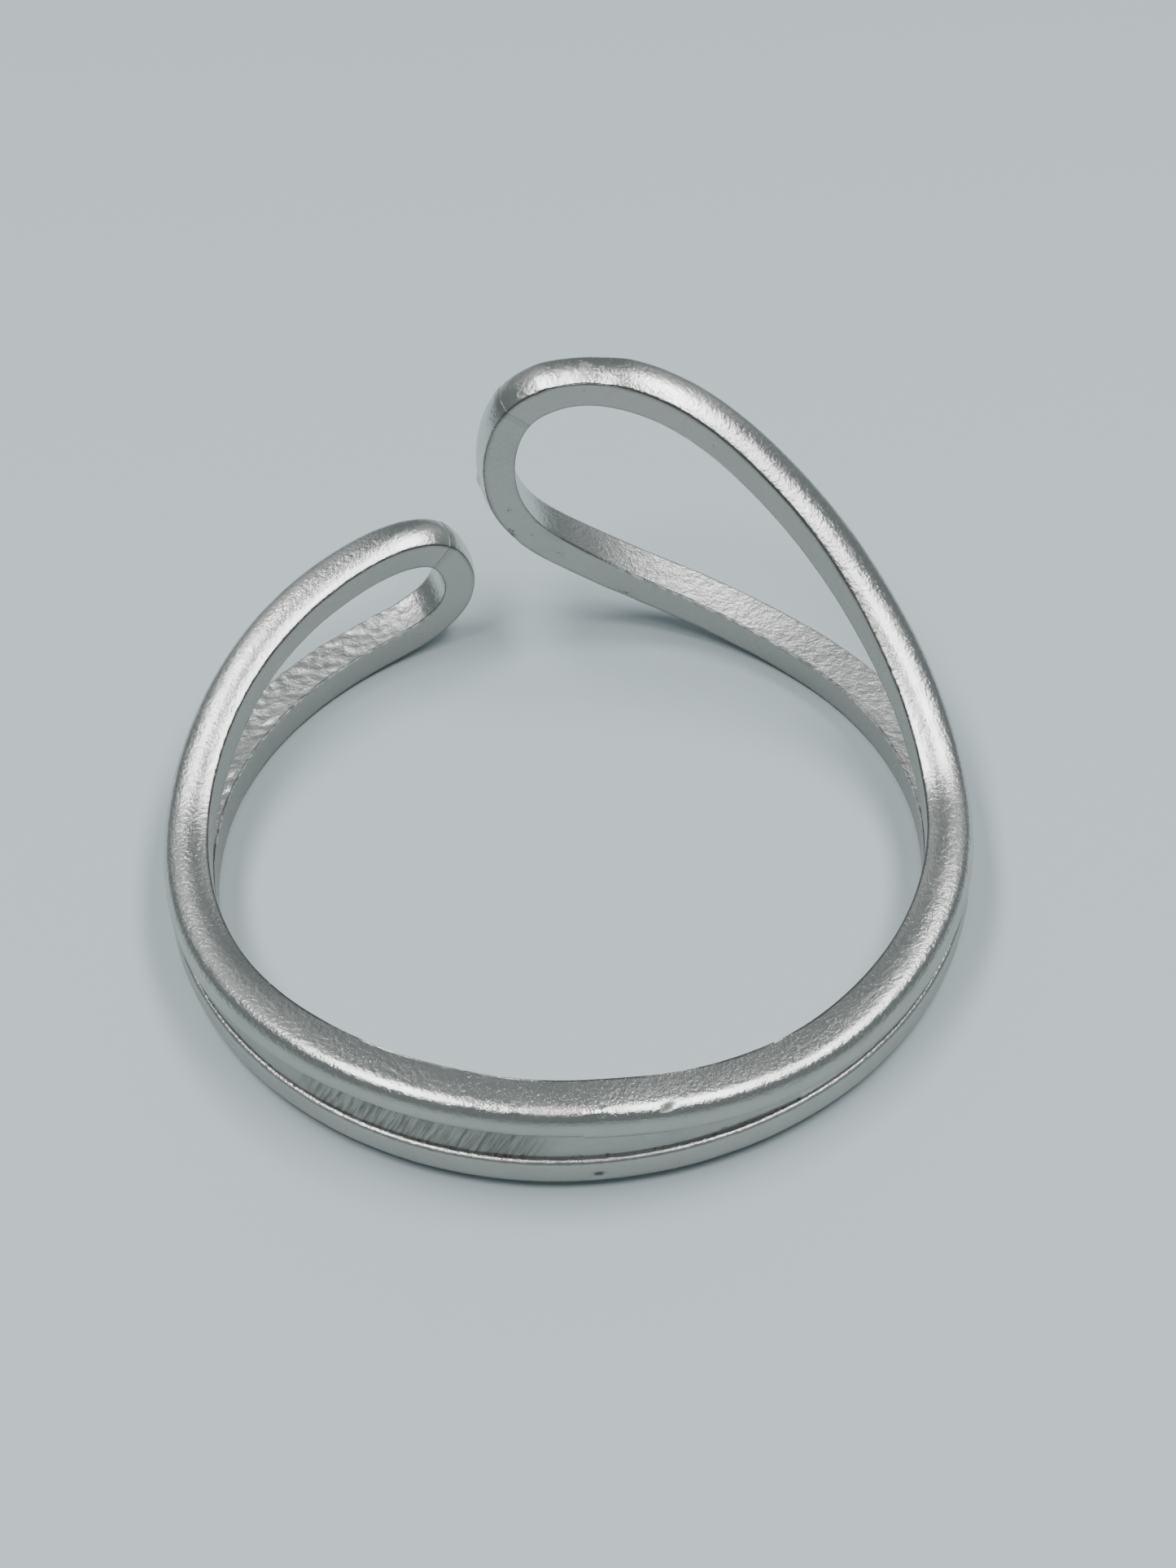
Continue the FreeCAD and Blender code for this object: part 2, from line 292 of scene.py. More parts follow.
@dataclass
class Wire:
    """One bent wire of a loop, with its surface as the maker's tools left it.

    The section's u is outwards from the finger and its w is towards the hole of
    the loop, so that the crown is on the side where w is negative.
    """

    name: str
    route: Route
    start: float
    end: float
    seed: int
    marks: list[Mark] = field(default_factory=list)
    frosted: tuple[float, float] = (0.0, 0.0)
    swell: float = 0.0
    hammer: float = 0.0
    groove_round: float = 0.13
    step: float = 0.06
    section_step: float = 0.065
    waviness: float = 0.010
    crown_rise: float = 0.09
    crown_fall: float = 0.42
    crown_middle: float = 0.44
    shoulder_fill: float = 0.22

    def section(self, mesh: bmesh.types.BMesh) -> bmesh.types.BMFace:
        """Cross-section as one face, with x outwards and y towards the hole.

        Args:
            mesh: the mesh that the face is made in.

        Returns:
            The face, with rounded corners and enough edges to carry detail.
        """
        inner = BAND.inner_height / 2
        outer = BAND.height / 2
        corners = [(0, -inner), (BAND.depth, -outer), (BAND.depth, outer), (0, inner)]
        made = [mesh.verts.new((x, y, 0)) for x, y in corners]
        mesh.faces.new(made)
        for corner, radius, segments in (
            ((made[1],), BAND.crown_round, 10),
            ((made[2],), self.groove_round, 5),
            ((made[0], made[3]), BAND.ridge_round, 2),
        ):
            bmesh.ops.bevel(
                mesh, geom=list(corner), offset=radius, offset_type="OFFSET", segments=segments,
                profile=0.5, affect="VERTICES", material=-1)
        for edge in [item for item in mesh.edges if item.calc_length() > 0.10]:
            cuts = round(edge.calc_length() / self.section_step)
            bmesh.ops.subdivide_edges(mesh, edges=[edge], cuts=cuts)
        for vert in mesh.verts:
            self._dome(vert)
        return next(iter(mesh.faces))

    @staticmethod
    def _dome(vert: bmesh.types.BMVert) -> None:
        """Round a section vertex gently towards the middle of its side.

        Args:
            vert: the vertex, which is moved.
        """
        u, w = vert.co.x, vert.co.y
        if w < -0.36:
            vert.co.y -= 0.014 * math.sin(math.pi * min(1.0, u / 0.95))
        if u > 1.0:
            vert.co.x -= 0.02 * (2 * w / BAND.height) ** 2

    def stations(self) -> list[Station]:
        """Places along the wire, evenly spaced, with both ends exact.

        Returns:
            The stations from the start to the end.
        """
        count = max(2, round(abs(self.end - self.start) / self.step))
        found = []
        for i in range(count + 1):
            length = self.start + (self.end - self.start) * i / count
            angle, height, seat = self.route.seat(length)
            found.append(Station(length, angle, height, seat))
        return found

    def mesh(self) -> bpy.types.Mesh:
        """Sweep the section along the route and work its surface.

        Returns:
            The finished mesh, in metres, with its finish as attributes.
        """
        shape = bmesh.new()
        station_layer = shape.verts.layers.int.new("station")
        spoke_layer = shape.verts.layers.int.new("spoke")
        face = self.section(shape)
        stations = self.stations()
        outline = [vert.co.copy() for vert in face.verts]
        for index, vert in enumerate(face.verts):
            vert[spoke_layer] = index
        bmesh.ops.transform(shape, matrix=stations[0].seat, verts=list(face.verts))
        for number in range(1, len(stations)):
            grown = bmesh.ops.extrude_face_region(shape, geom=[face])["geom"]
            if number > 1:
                bmesh.ops.delete(shape, geom=[face], context="FACES_ONLY")
            face = next(item for item in grown if isinstance(item, bmesh.types.BMFace))
            fresh = list(face.verts)
            shift = stations[number].seat @ stations[number - 1].seat.inverted()
            bmesh.ops.transform(shape, matrix=shift, verts=fresh)
            for vert in fresh:
                vert[station_layer] = number
        bmesh.ops.recalc_face_normals(shape, faces=list(shape.faces))
        self._work(shape, stations, outline, station_layer, spoke_layer)
        return finished_mesh(shape, self.name)

    def _work(self, shape: bmesh.types.BMesh, stations: list[Station], outline: list[Vector],
              station_layer: bmesh.types.BMLayerItem, spoke_layer: bmesh.types.BMLayerItem) -> None:
        """Dent, swell and ripple the surface, and note on the vertices its finish, its darkening by
        tarnishing and painted shade, and the edge that gets a painted dark reflection.

        Args:
            shape: the swept mesh, in millimetres.
            stations: the places that it was swept through.
            outline: section places, in the order of the spokes.
            station_layer: layer with each vertex's station.
            spoke_layer: layer with each vertex's place on the section.
        """
        names = ("along", "around", "frost", "ridge", "satin", "stain_and_shade", "inside")
        along, around, frost, ridge, satin, stain_and_shade, inside = (
            shape.verts.layers.float.new(name) for name in names)
        girth = [0.0]
        for a, b in zip(outline, outline[1:]):
            girth.append(girth[-1] + (b - a).length)
        spots = [(mark, self.route.nearest(mark.angle, mark.height)) for mark in self.marks]
        low, high = sorted((self.start, self.end))
        for vert in shape.verts:
            station = stations[vert[station_layer]]
            spoke = outline[vert[spoke_layer]]
            u, w = spoke.x, spoke.y
            vert[along] = station.length
            vert[around] = girth[vert[spoke_layer]]
            facing = self._facing(spoke)
            normal = station.seat.to_3x3() @ facing
            depth, darkened = self._marks_at(spots, station.length, u, w)
            end_fade = min(1.0, (station.length - low) / 0.3, (high - station.length) / 0.3)
            rise = self.waviness * (self._ripple(vert.co) * max(0.0, end_fade) - 1.2) + self.swell
            rough = self._frost(station, w)
            rise -= rough * self.hammer * (0.5 + noise.noise(vert.co * 4.2))
            if w < -0.15:
                rise += self._crowned(station) * self._crown(u, facing)
            vert.co += normal * (rise - depth)
            # Darkening from the marks: tarnishing, and painted shade in the crown's dent.
            vert[stain_and_shade] = darkened
            vert[frost] = rough
            # Mask for the painted dark reflection along the edge of the finger face.
            vert[ridge] = self._ridge(u, w, vert.co)
            vert[satin] = min(1.0, max(0.0, (u - 1.04) / 0.09))
            vert[inside] = 1.0 if u < 0.025 else 0.0

    def _ripple(self, place: Vector) -> float:
        """Long and short waves that hand bending leaves in the surface.

        Args:
            place: a place on the wire, in millimetres.

        Returns:
            Height of the waves, mostly between -1 and 1.
        """
        long_wave = noise.noise(place * 0.55 + Vector((self.seed * 7.1, 0, 0)))
        short_wave = noise.noise(place * 1.9 + Vector((0, self.seed * 3.3, 0)))
        return long_wave + 0.35 * short_wave

    def _crown(self, u: float, facing: Vector) -> float:
        """Rise of the rounded crown above the flat side, with a fuller outer shoulder.

        Args:
            u: place outwards on the section.
            facing: outward normal of the section there.

        Returns:
            Rise in millimetres.
        """
        dome = self.crown_rise - self.crown_fall * (u - self.crown_middle) ** 2
        return facing.y**2 * dome + self.shoulder_fill * (facing.x * facing.y) ** 2

    @staticmethod
    def _crowned(station: Station) -> float:
        """How far the crown side is worked round: not behind the finger or on the floor.

        Args:
            station: the place along the wire.

        Returns:
            Share from 0 to 1.
        """
        ahead = min(1.0, max(0.0, (150.0 - abs(station.angle)) / 55.0))
        lifted = min(1.0, max(0.0, (station.height - 0.9) / 0.6))
        return ahead * ahead * (3 - 2 * ahead) * lifted

    def _facing(self, spoke: Vector) -> Vector:
        """Outward normal of the section at one of its vertices.

        Args:
            spoke: the vertex's place on the section.

        Returns:
            Unit normal on the section.
        """
        u, w = spoke.x, spoke.y
        if u < 0.01:
            return Vector((-1.0, 0.0, 0.0))
        rounding = BAND.crown_round if w < 0 else self.groove_round
        if u < BAND.depth - rounding:
            return Vector((-0.05, math.copysign(1.0, w), 0.0)).normalized()
        corner = BAND.height / 2 - rounding
        across = 0.0 if abs(w) < corner else w - math.copysign(corner, w)
        return Vector((u - BAND.depth + rounding, across, 0.0)).normalized()

    def _marks_at(self, spots: list[tuple[Mark, float]], length: float, u: float,
                  w: float) -> tuple[float, float]:
        """Depth and darkening that the marks give a place on the wire: mostly tarnishing, and painted
        shade in the crown's dent.

        Args:
            spots: marks with their lengths along the route.
            length: length along the route.
            u: place outwards on the section.
            w: place towards the hole on the section.

        Returns:
            Depth in millimetres and darkening from 0 to 1.
        """
        depth = 0.0
        darkened = 0.0
        for mark, at in spots:
            du, dw = u - mark.face.value[0], w - mark.face.value[1]
            across = math.hypot(du, dw)
            run = (length - at + mark.skew * (du + dw)) / mark.along
            if abs(run) > 2.2 or across > 2.2 * mark.across:
                continue
            pull = math.exp(-(run**4) - (across / mark.across) ** 4)
            depth += mark.depth * pull
            darkened = max(darkened, mark.stain_and_shade * pull)
        return depth, darkened

    def _frost(self, station: Station, w: float) -> float:
        """How far a place is filed rough, on the side that faces the hole.

        Args:
            station: the place along the wire.
            w: place towards the hole on the section.

        Returns:
            Share from 0 to 1.
        """
        first, last = self.frosted
        if first == last or w < 0.30:
            return 0.0
        edge = min(station.length - first, last - station.length)
        return min(1.0, max(0.0, edge / 1.2 + 0.5)) * min(1.0, (w - 0.30) / 0.08)

    @staticmethod
    def _ridge(u: float, w: float, place: Vector) -> float:
        """How near a place is to the sharp edge of the finger face, broken up a little; the material
        paints a dark reflection there.

        Args:
            u: place outwards on the section.
            w: place towards the hole on the section.
            place: the place on the wire, in millimetres.

        Returns:
            Share from 0 to 1.
        """
        reach = 0.055 + 0.03 * noise.noise(place * 1.7)
        gap = math.hypot(u - BAND.ridge_round, abs(w) - BAND.inner_height / 2)
        return max(0.0, 1.0 - gap / max(reach, 0.02))


@dataclass
class Filler:
    """A strip of solder or web between two stacked wires, with a worked outer face.

    The recess is how deep its face lies below the outside of the ring, and rise_to
    is the recess at its far end where that differs. Tuck and bed are how far it
    reaches into the wires above and below it.
    """

    name: str
    upper: Route
    from_angle: float
    to_angle: float
    recess: float
    seed: int
    file_marks: tuple[float, float] = (0.0, 0.0)
    rise_to: float = 0.0
    tuck: float = 0.14
    bed: float = 0.05
    # How wide the painted shade and tarnishing in the groove run, and the angle where they are widest.
    shade_and_tarnish_width: float = 0.07
    shade_and_tarnish_peak: float = 0.0
    inner_recess: float = 0.10
    column_step: float = 0.05
    rows: int = 14

    def mesh(self) -> bpy.types.Mesh:
        """Lay a fine grid on the ring between the wires and thicken it inwards.

        Returns:
            The finished mesh, in metres.
        """
        shape = bmesh.new()
        arc = abs(self.to_angle - self.from_angle) * math.radians(1) * BAND.outer_radius
        columns = max(8, round(arc / self.column_step))
        bmesh.ops.create_grid(shape, x_segments=columns, y_segments=self.rows, size=0.5)
        along, around, stain_and_shade, frost = (
            shape.verts.layers.float.new(name) for name in ("along", "around", "stain_and_shade", "frost"))
        for vert in shape.verts:
            share, lift = vert.co.x + 0.5, vert.co.y + 0.5
            angle = self.from_angle + (self.to_angle - self.from_angle) * share
            low = BAND.height - self.bed
            high = self.upper.upper_height(angle) - BAND.height / 2 + self.tuck
            height = low + (high - low) * lift
            radius = BAND.outer_radius - self._recess_at(share) + self._texture(angle, height)
            turn = math.radians(angle)
            vert.co = Vector((radius * math.sin(turn), radius * math.cos(turn), height))
            vert[along] = turn * BAND.outer_radius
            vert[around] = height
            # Painted shade and tarnishing along the groove above the lower wire.
            vert[stain_and_shade] = self._groove_shade_and_tarnish(angle, height)
            vert[frost] = self._filed(angle)
        thickness = BAND.depth - self.recess - self.inner_recess
        outer = BAND.outer_radius - self.recess
        back = bmesh.ops.extrude_face_region(shape, geom=list(shape.faces))["geom"]
        shrink = Matrix.Diagonal((1 - thickness / outer, 1 - thickness / outer, 1, 1))
        inner_verts = [item for item in back if isinstance(item, bmesh.types.BMVert)]
        bmesh.ops.transform(shape, matrix=shrink, verts=inner_verts)
        bmesh.ops.recalc_face_normals(shape, faces=list(shape.faces))
        return finished_mesh(shape, self.name)

    def _recess_at(self, share: float) -> float:
        """Depth below the outside of the ring, which may run out towards the end."""
        return self.recess + (self.rise_to - self.recess) * share**2 if self.rise_to else self.recess

    def _texture(self, angle: float, height: float) -> float:
        """Relief of the outer face: a rough skin, and a ripple where it was filed.

        Args:
            angle: angle in degrees.
            height: height in millimetres.

        Returns:
            Relief in millimetres.
        """
        place = Vector((angle * 0.35, height * 1.2, self.seed * 5.0))
        ripple = noise.noise(Vector((angle * 0.7 + height * 1.6, height * 0.4, self.seed)))
        return 0.006 * noise.noise(place * 3.0) + 0.012 * self._filed(angle) * ripple

    def _groove_shade_and_tarnish(self, angle: float, height: float) -> float:
        """Painted shade, with some tarnishing, in the groove above the lower wire, wider round one
        angle.

        Args:
            angle: angle in degrees.
            height: height in millimetres.

        Returns:
            Darkening from 0 to 1.
        """
        wide = self.shade_and_tarnish_width * (1 + 1.6 * math.exp(-((angle - self.shade_and_tarnish_peak) / 7.0) ** 2))
        return math.exp(-((height - BAND.height - 0.03) / wide) ** 2)

    def _filed(self, angle: float) -> float:
        """How far the face shows file strokes.

        Args:
            angle: angle in degrees.

        Returns:
            Share from 0 to 1.
        """
        first, last = self.file_marks
        if first == last:
            return 0.0
        return min(1.0, max(0.0, min(angle - first, last - angle) / 5.0))


# ------------------------------------------------------------------- materials
Colour = tuple[float, float, float, float]
Socket = bpy.types.NodeSocket


class NodeSheet:
    """Short calls for laying out shader nodes in a tree."""

    def __init__(self, tree: bpy.types.NodeTree) -> None:
        """Keep the tree that the nodes go in."""
        self.tree = tree

    def add(self, kind: str, **settings: object) -> bpy.types.Node:
        """Add a node and set its properties.

        Args:
            kind: Blender's name of the node type.
            **settings: properties of the node and their values.

        Returns:
            The node.
        """
        node = self.tree.nodes.new(kind)
        for key, value in settings.items():
            setattr(node, key, value)
        return node

    def link(self, source: Socket, target: Socket) -> None:
        """Join an output to an input."""
        self.tree.links.new(source, target)

    def attribute(self, name: str) -> Socket:
        """Value of a vertex attribute."""
        return self.add("ShaderNodeAttribute", attribute_name=name).outputs["Fac"]

    def math(self, operation: str, first: Socket | float, second: Socket | float = 0.0,
             clamp: bool = False) -> Socket:
        """Maths on two sockets or numbers.

        Args:
            operation: Blender's name of the operation.
            first: socket or number.
            second: socket or number.
            clamp: keep the result between 0 and 1.

        Returns:
            The result.
        """
        node = self.add("ShaderNodeMath", operation=operation, use_clamp=clamp)
        for slot, value in enumerate((first, second)):
            if isinstance(value, Socket):
                self.link(value, node.inputs[slot])
            else:
                node.inputs[slot].default_value = value
        return node.outputs[0]

    def mask(self, value: Socket, low: float, high: float) -> Socket:
        """Turn a value into a mask.

        Args:
            value: the value.
            low: where the mask is 0 and below.
            high: where the mask is 1 and above.

        Returns:
            The mask.
        """
        node = self.add("ShaderNodeMapRange")
        self.link(value, node.inputs["Value"])
        node.inputs["From Min"].default_value = low
        node.inputs["From Max"].default_value = high
        return node.outputs["Result"]

    def mix(self, factor: Socket, first: Socket | Colour, second: Socket | Colour) -> Socket:
        """Mix two colours.

        Args:
            factor: share of the second colour.
            first: colour or socket at 0.
            second: colour or socket at 1.

        Returns:
            The mixed colour.
        """
        node = self.add("ShaderNodeMix", data_type="RGBA")
        for key, value in ((0, factor), (6, first), (7, second)):
            if isinstance(value, Socket):
                self.link(value, node.inputs[key])
            else:
                node.inputs[key].default_value = value
        return node.outputs[2]

    def noise(self, vector: Socket, scale: Socket | float, detail: float, roughness: float) -> Socket:
        """Noise on a vector.

        Args:
            vector: where the noise is read.
            scale: socket or number.
            detail: octaves of the noise.
            roughness: strength of each finer octave.

        Returns:
            The noise, from 0 to 1.
        """
        node = self.add("ShaderNodeTexNoise")
        self.link(vector, node.inputs["Vector"])
        if isinstance(scale, Socket):
            self.link(scale, node.inputs["Scale"])
        else:
            node.inputs["Scale"].default_value = scale
        node.inputs["Detail"].default_value = detail
        node.inputs["Roughness"].default_value = roughness
        return node.outputs["Fac"]


def value_group(name: str, inputs: list[tuple[str, str]], outputs: list[str]) -> tuple[
        bpy.types.NodeTree, NodeSheet, bpy.types.Node, bpy.types.Node]:
    """Start a node group with named sockets.

    Args:
        name: name of the group.
        inputs: names and socket types of the inputs.
        outputs: names of the value outputs.

    Returns:
        The group, its node sheet, and its input and output nodes.
    """
    group = bpy.data.node_groups.new(name, "ShaderNodeTree")
    for label, kind in inputs:
        group.interface.new_socket(label, in_out="INPUT", socket_type=kind)
    for label in outputs:
        group.interface.new_socket(label, in_out="OUTPUT", socket_type="NodeSocketFloat")
    sheet = NodeSheet(group)
    return group, sheet, sheet.add("NodeGroupInput"), sheet.add("NodeGroupOutput")


def stroke_group() -> bpy.types.NodeTree:
    """Strokes of a tool on metal: long marks on unrolled coordinates.

    Returns:
        A group with along, around, Stretch, Slant and Scale, that gives Height and Mask.
    """
    sockets = [(key, "NodeSocketFloat") for key in ("Along", "Around", "Stretch", "Slant", "Scale")]
    group, sheet, given, out = value_group("tool_strokes", sockets, ["Height", "Mask"])
    slanted = sheet.math("MULTIPLY", given.outputs["Around"], given.outputs["Slant"])
    shifted = sheet.math("ADD", given.outputs["Along"], slanted)
    across = sheet.math("MULTIPLY", given.outputs["Around"], given.outputs["Stretch"])
    place = sheet.add("ShaderNodeCombineXYZ")
    sheet.link(shifted, place.inputs[0])
    sheet.link(across, place.inputs[1])
    fine = sheet.noise(place.outputs[0], given.outputs["Scale"], 4.0, 0.6)
    sheet.link(fine, out.inputs["Height"])
    sheet.link(sheet.mask(fine, 0.42, 0.62), out.inputs["Mask"])
    return group


def patina_group() -> bpy.types.NodeTree:
    """Dull film that handling leaves on silver, on object coordinates in metres.

    Returns:
        A group with Vector and Scale, that gives Film, Speck, Wave and Grain.
    """
    sockets = [("Vector", "NodeSocketVector"), ("Scale", "NodeSocketFloat")]
    group, sheet, given, out = value_group("handling_film", sockets, ["Film", "Speck", "Wave", "Grain"])
    size = sheet.add("ShaderNodeVectorMath", operation="SCALE")
    sheet.link(given.outputs["Vector"], size.inputs[0])
    sheet.link(given.outputs["Scale"], size.inputs["Scale"])
    film = sheet.noise(size.outputs[0], 1.0, 5.0, 0.6)
    speck = sheet.noise(size.outputs[0], 9.0, 3.0, 0.7)
    wave = sheet.noise(size.outputs[0], 0.45, 2.0, 0.5)
    grain = sheet.noise(size.outputs[0], 11.0, 4.0, 0.6)
    sheet.link(grain, out.inputs["Grain"])
    sheet.link(sheet.mask(film, 0.35, 0.70), out.inputs["Film"])
    sheet.link(sheet.mask(speck, 0.55, 0.72), out.inputs["Speck"])
    sheet.link(wave, out.inputs["Wave"])
    return group


@dataclass(frozen=True)
class SilverFinish:
    """Silver as one set of tools left it."""

    name: str
    colour: Colour
    dull: Colour
    polish: float
    satin: float
    stroke_stretch: float
    stroke_slant: float
    stroke_scale: float
    stroke_depth: float
    speck_depth: float
    grain_depth: float
    filed: Colour

    def build(self, strokes: bpy.types.NodeTree, film: bpy.types.NodeTree) -> bpy.types.Material:
        """Make the material.

        Args:
            strokes: the group for tool strokes.
            film: the group for handling film.

        Returns:
            The material, which reads the attributes that the pieces carry.
        """
        material = bpy.data.materials.new(self.name)
        material.use_nodes = True
        material.node_tree.nodes.clear()
        sheet = NodeSheet(material.node_tree)
        shader = sheet.add("ShaderNodeBsdfPrincipled")
        out = sheet.add("ShaderNodeOutputMaterial")
        sheet.link(shader.outputs["BSDF"], out.inputs["Surface"])
        patina = sheet.add("ShaderNodeGroup")
        patina.node_tree = film
        sheet.link(sheet.add("ShaderNodeTexCoord").outputs["Object"], patina.inputs["Vector"])
        patina.inputs["Scale"].default_value = FILM_SCALE
        hairs = self._strokes(sheet, strokes, 9.0, 0.0, 5.0)
        file_marks = self._strokes(
            sheet, strokes, self.stroke_stretch, self.stroke_slant, self.stroke_scale)
        stain_and_shade = self._stain_and_shade(sheet, patina)
        sheet.link(self._colour(sheet, patina, file_marks, stain_and_shade), shader.inputs["Base Color"])
        sheet.link(sheet.math("SUBTRACT", 1.0, stain_and_shade), shader.inputs["Metallic"])
        sheet.link(self._roughness(sheet, patina, stain_and_shade), shader.inputs["Roughness"])
        bump = sheet.add("ShaderNodeBump")
        bump.inputs["Distance"].default_value = MM
        bump.inputs["Strength"].default_value = 1.0
        sheet.link(self._relief(sheet, patina, file_marks, hairs), bump.inputs["Height"])
        sheet.link(bump.outputs["Normal"], shader.inputs["Normal"])
        return material

    def _stain_and_shade(self, sheet: NodeSheet, patina: bpy.types.Node) -> Socket:
        """Darkening from the piece's own attribute, tarnishing with painted shade in places, broken
        into specks where it is thin.

        Args:
            sheet: the material's nodes.
            patina: the placed film group.

        Returns:
            Darkening from 0 to 1.
        """
        broken = sheet.math("MULTIPLY", sheet.math("SUBTRACT", patina.outputs["Speck"], 1.0), 0.8)
        stain_and_shade = sheet.math("MULTIPLY", sheet.attribute("stain_and_shade"), 1.6)
        return sheet.math("ADD", stain_and_shade, broken, clamp=True)

    def _colour(self, sheet: NodeSheet, patina: bpy.types.Node, file_marks: bpy.types.Node,
                stain_and_shade: Socket) -> Socket:
        """Colour of the metal: duller off the crown, marked by the file, with a painted dark reflection
        along the edge of the finger face, and darkened by tarnishing and painted shade.

        Args:
            sheet: the material's nodes.
            patina: the placed film group.
            file_marks: the placed stroke group of the file.
            stain_and_shade: darkening from 0 to 1, tarnishing and painted shade.

        Returns:
            The colour.
        """
        colour = sheet.mix(sheet.math("MULTIPLY", patina.outputs["Film"], 0.35), self.colour, self.dull)
        outside = sheet.math("MULTIPLY", sheet.attribute("satin"), 0.75)
        unpolished = sheet.math("MAXIMUM", sheet.attribute("inside"), outside)
        colour = sheet.mix(unpolished, colour, self.dull)
        # Painted dark reflection: the edge of the finger face is darkened as if it reflected the dark
        # room.
        edge = sheet.math("MULTIPLY", sheet.attribute("ridge"), 0.85)
        colour = sheet.mix(edge, colour, RIDGE_DARK_REFLECTION)
        filed = sheet.math("MULTIPLY", sheet.attribute("frost"), file_marks.outputs["Mask"])
        colour = sheet.mix(sheet.math("MULTIPLY", filed, 0.85), colour, self.filed)
        # Darkened by tarnishing and painted shade.
        return sheet.mix(stain_and_shade, colour, TARNISH_AND_SHADE)

    def _roughness(self, sheet: NodeSheet, patina: bpy.types.Node, stain_and_shade: Socket) -> Socket:
        """Roughness: polished on the crown, satin outside, rougher where filed, tarnished or darkened
        as painted shade.

        Args:
            sheet: the material's nodes.
            patina: the placed film group.
            stain_and_shade: darkening from 0 to 1, tarnishing and painted shade.

        Returns:
            The roughness.
        """
        satin = sheet.math("MULTIPLY", sheet.attribute("satin"), self.satin - self.polish)
        rough = sheet.math("ADD", satin, self.polish)
        for value, share in (
            (patina.outputs["Film"], 0.08),
            (sheet.attribute("frost"), 0.16),
            (sheet.attribute("inside"), 0.10),
            (stain_and_shade, 0.70),
        ):
            rough = sheet.math("ADD", rough, sheet.math("MULTIPLY", value, share), clamp=True)
        return rough

    def _relief(self, sheet: NodeSheet, patina: bpy.types.Node, file_marks: bpy.types.Node,
                hairs: bpy.types.Node) -> Socket:
        """Fine relief in millimetres: polishing hairs, file strokes, waves, specks and grain.

        Args:
            sheet: the material's nodes.
            patina: the placed film group.
            file_marks: the placed stroke group of the file.
            hairs: the placed stroke group of the polishing.

        Returns:
            The height.
        """
        height = sheet.math("MULTIPLY", hairs.outputs["Height"], 0.0030)
        strokes = sheet.math("MULTIPLY", file_marks.outputs["Height"], sheet.attribute("frost"))
        for value, depth in (
            (strokes, self.stroke_depth),
            (patina.outputs["Wave"], 0.006),
            (patina.outputs["Speck"], self.speck_depth),
            (patina.outputs["Grain"], self.grain_depth),
        ):
            height = sheet.math("ADD", height, sheet.math("MULTIPLY", value, depth))
        return height

    def _strokes(self, sheet: NodeSheet, strokes: bpy.types.NodeTree, stretch: float,
                 slant: float, scale: float) -> bpy.types.Node:
        """Place the stroke group with its own values.

        Args:
            sheet: the material's nodes.
            strokes: the group.
            stretch: strokes across the wire to strokes along it, so that 9 draws hairs
                along the wire and less than 1 draws strokes across it.
            slant: how far they lean along the wire.
            scale: how many there are to a millimetre, roughly.

        Returns:
            The placed group.
        """
        node = sheet.add("ShaderNodeGroup")
        node.node_tree = strokes
        sheet.link(sheet.attribute("along"), node.inputs["Along"])
        sheet.link(sheet.attribute("around"), node.inputs["Around"])
        node.inputs["Stretch"].default_value = stretch
        node.inputs["Slant"].default_value = slant
        node.inputs["Scale"].default_value = scale
        return node


class Finish(Enum):
    """The finishes of the ring."""

    WIRE = SilverFinish(
        name="burnished_silver", colour=(0.65, 0.66, 0.64, 1.0), dull=(0.40, 0.395, 0.375, 1.0),
        polish=0.15, satin=0.34, stroke_stretch=0.9, stroke_slant=0.35, stroke_scale=5.0,
        stroke_depth=0.030, speck_depth=0.0008, grain_depth=0.017,
        filed=(0.82, 0.82, 0.79, 1.0))
    WEB = SilverFinish(
        name="filed_silver", colour=(0.42, 0.42, 0.405, 1.0), dull=(0.28, 0.28, 0.265, 1.0),
        polish=0.34, satin=0.40, stroke_stretch=0.08, stroke_slant=0.45, stroke_scale=10.0,
        stroke_depth=0.022, speck_depth=0.004, grain_depth=0.006, filed=(0.17, 0.165, 0.155, 1.0))
    SOLDER = SilverFinish(
        name="solder_silver", colour=(0.52, 0.52, 0.50, 1.0), dull=(0.37, 0.37, 0.355, 1.0),
        polish=0.24, satin=0.34, stroke_stretch=1.0, stroke_slant=0.2, stroke_scale=4.0,
        stroke_depth=0.008, speck_depth=0.002, grain_depth=0.006, filed=(0.5, 0.5, 0.48, 1.0))


